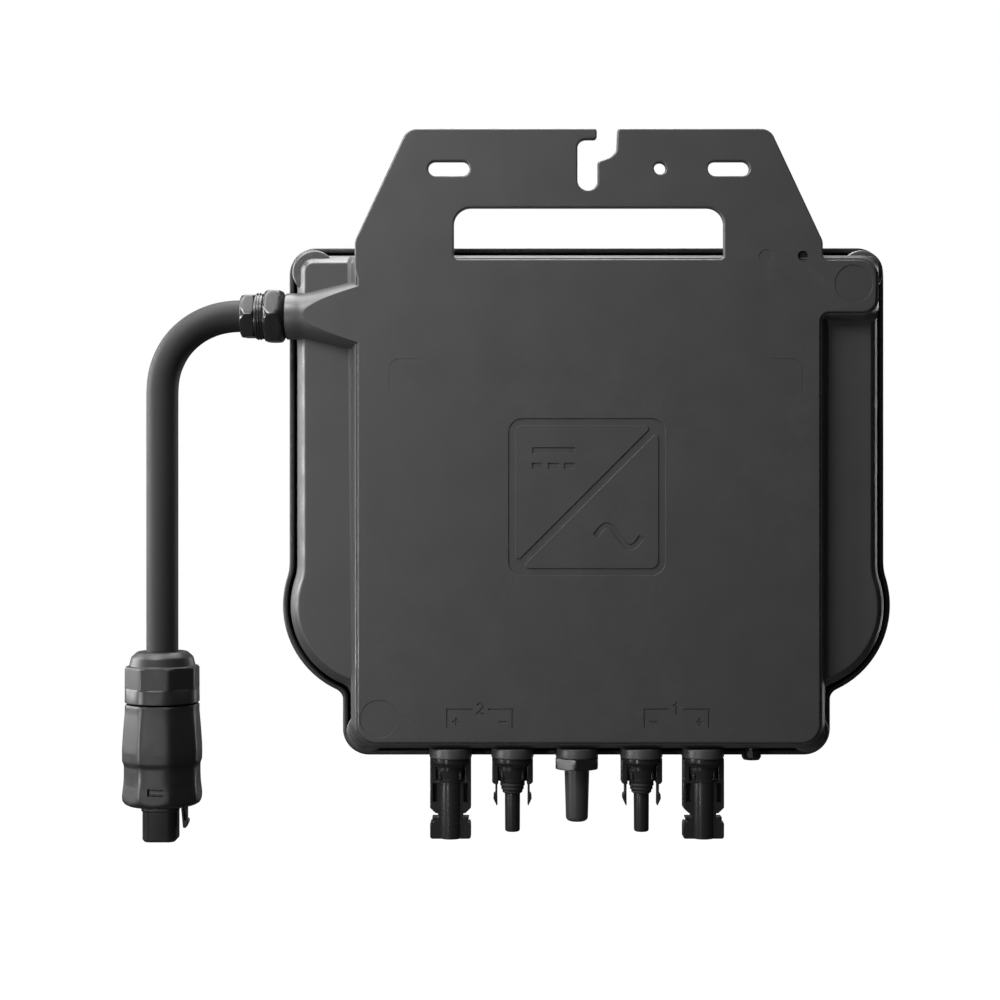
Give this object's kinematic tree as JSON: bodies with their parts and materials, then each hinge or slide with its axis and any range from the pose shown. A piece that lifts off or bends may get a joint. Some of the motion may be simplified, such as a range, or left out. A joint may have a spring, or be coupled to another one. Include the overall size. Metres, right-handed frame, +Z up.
{
  "type": "solar micro inverter",
  "caption": "Flat die-cast inverter with a slotted hanging bracket, a row of snap connectors and a stub antenna below, and a short AC cable with a round plug at the side.",
  "frame": {"origin": "on the bracket's front face, on the strip between the hook slot and the handle opening", "axes": "+Z up towards the bracket's top edge, +X to the right seen from the front, the bracket's flat face looks along -Y"},
  "size_m": [0.3281, 0.0502, 0.3],
  "materials": {
    "cast_housing": "die-cast aluminium with a fine matte black powder coat",
    "cast_cover": "pressed aluminium with a fine matte black powder coat",
    "seal_rubber": "matte black rubber",
    "screw_steel": "plain stainless steel",
    "vent_plastic": "black moulded plastic",
    "circuit_board": "green solder mask",
    "potting": "grey potting compound",
    "ferrite": "dark ferrite",
    "winding_tape": "amber winding tape",
    "copper": "enamelled copper wire",
    "capacitor_can": "dark sleeved can",
    "film_case": "yellow capacitor case",
    "relay_case": "blue component case",
    "spreader_metal": "bare aluminium",
    "lead_brown": "brown wire insulation",
    "lead_blue": "blue wire insulation",
    "lead_green": "green and yellow wire insulation",
    "gland_plastic": "black nylon with a slight sheen",
    "cable_jacket": "satin black cable jacket",
    "plug_plastic": "black moulded plastic with a slight sheen",
    "insert_plastic": "black moulded plastic",
    "connector_plastic": "black moulded plastic with narrow highlights",
    "antenna_rubber": "black moulded cap",
    "contact_brass": "bare brass",
    "contact_tin": "tin-plated copper"
  },
  "bodies": {
    "inverter": {"front_housing": "cast_housing", "back_cover": "cast_cover", "cover_seal": "seal_rubber", "cover_screw_1": "screw_steel", "cover_screw_2": "screw_steel", "cover_screw_3": "screw_steel", "cover_screw_4": "screw_steel", "vent_plug": "vent_plastic", "main_board": "circuit_board", "radio_board": "circuit_board", "potting_slab": "potting", "thermal_pad": "potting", "transformer_core_1": "ferrite", "transformer_core_2": "ferrite", "transformer_winding_1": "winding_tape", "transformer_winding_2": "winding_tape", "output_choke": "copper", "bus_capacitor_1": "capacitor_can", "bus_capacitor_2": "capacitor_can", "bus_capacitor_3": "capacitor_can", "bus_capacitor_4": "capacitor_can", "film_capacitor": "film_case", "grid_relay_1": "relay_case", "grid_relay_2": "relay_case", "ac_terminal_block": "relay_case", "heat_spreader": "spreader_metal", "ac_lead_live": "lead_brown", "ac_lead_neutral": "lead_blue", "ac_lead_earth": "lead_green", "gland_body": "gland_plastic", "gland_seal_ring": "seal_rubber", "ac_cable": "cable_jacket", "plug_shell": "plug_plastic", "plug_insert": "insert_plastic", "plug_seal": "seal_rubber", "plug_contact_1": "contact_brass", "plug_contact_2": "contact_brass", "plug_contact_3": "contact_brass", "antenna_base": "connector_plastic", "antenna_cover": "antenna_rubber", "antenna_element": "contact_brass", "dc_socket_1": "connector_plastic", "dc_socket_1_contact": "contact_tin", "dc_plug_1": "connector_plastic", "dc_plug_1_seal": "seal_rubber", "dc_plug_1_pin": "contact_tin", "dc_socket_2": "connector_plastic", "dc_socket_2_contact": "contact_tin", "dc_plug_2": "connector_plastic", "dc_plug_2_seal": "seal_rubber", "dc_plug_2_pin": "contact_tin"},
    "gland_nut": {"gland_nut": "gland_plastic"},
    "plug_nut": {"plug_nut": "plug_plastic"},
    "dc_plug_1_arm_left": {"dc_plug_1_arm_left": "connector_plastic"},
    "dc_plug_1_arm_right": {"dc_plug_1_arm_right": "connector_plastic"},
    "dc_plug_2_arm_left": {"dc_plug_2_arm_left": "connector_plastic"},
    "dc_plug_2_arm_right": {"dc_plug_2_arm_right": "connector_plastic"},
    "plug_latch": {"plug_latch": "insert_plastic"}
  },
  "joints": [
    {"name": "gland_nut_turn", "type": "hinge", "parent": "inverter", "child": "gland_nut", "pos_m": [-0.1443, 0.01, -0.0482], "axis": [1, 0, 0], "range_deg": [0, 450]},
    {"name": "plug_nut_turn", "type": "hinge", "parent": "inverter", "child": "plug_nut", "pos_m": [-0.1804, 0.01, -0.2], "axis": [0, 0, 1], "range_deg": [0, 450]},
    {"name": "dc_plug_1_arm_left_flex", "type": "hinge", "parent": "inverter", "child": "dc_plug_1_arm_left", "pos_m": [0.0159, 0.0095, -0.241], "axis": [0, -1, 0], "range_deg": [0, 7], "stiffness_Nm_per_rad": 0.05},
    {"name": "dc_plug_1_arm_right_flex", "type": "hinge", "parent": "inverter", "child": "dc_plug_1_arm_right", "pos_m": [0.0295, 0.0095, -0.241], "axis": [0, 1, 0], "range_deg": [0, 7], "stiffness_Nm_per_rad": 0.05},
    {"name": "dc_plug_2_arm_left_flex", "type": "hinge", "parent": "inverter", "child": "dc_plug_2_arm_left", "pos_m": [-0.0387, 0.0095, -0.241], "axis": [0, -1, 0], "range_deg": [0, 7], "stiffness_Nm_per_rad": 0.05},
    {"name": "dc_plug_2_arm_right_flex", "type": "hinge", "parent": "inverter", "child": "dc_plug_2_arm_right", "pos_m": [-0.0251, 0.0095, -0.241], "axis": [0, 1, 0], "range_deg": [0, 7], "stiffness_Nm_per_rad": 0.05},
    {"name": "plug_latch_flex", "type": "hinge", "parent": "inverter", "child": "plug_latch", "pos_m": [-0.1716, 0.01, -0.24], "axis": [0, 1, 0], "range_deg": [0, 3], "stiffness_Nm_per_rad": 0.1}
  ]
}
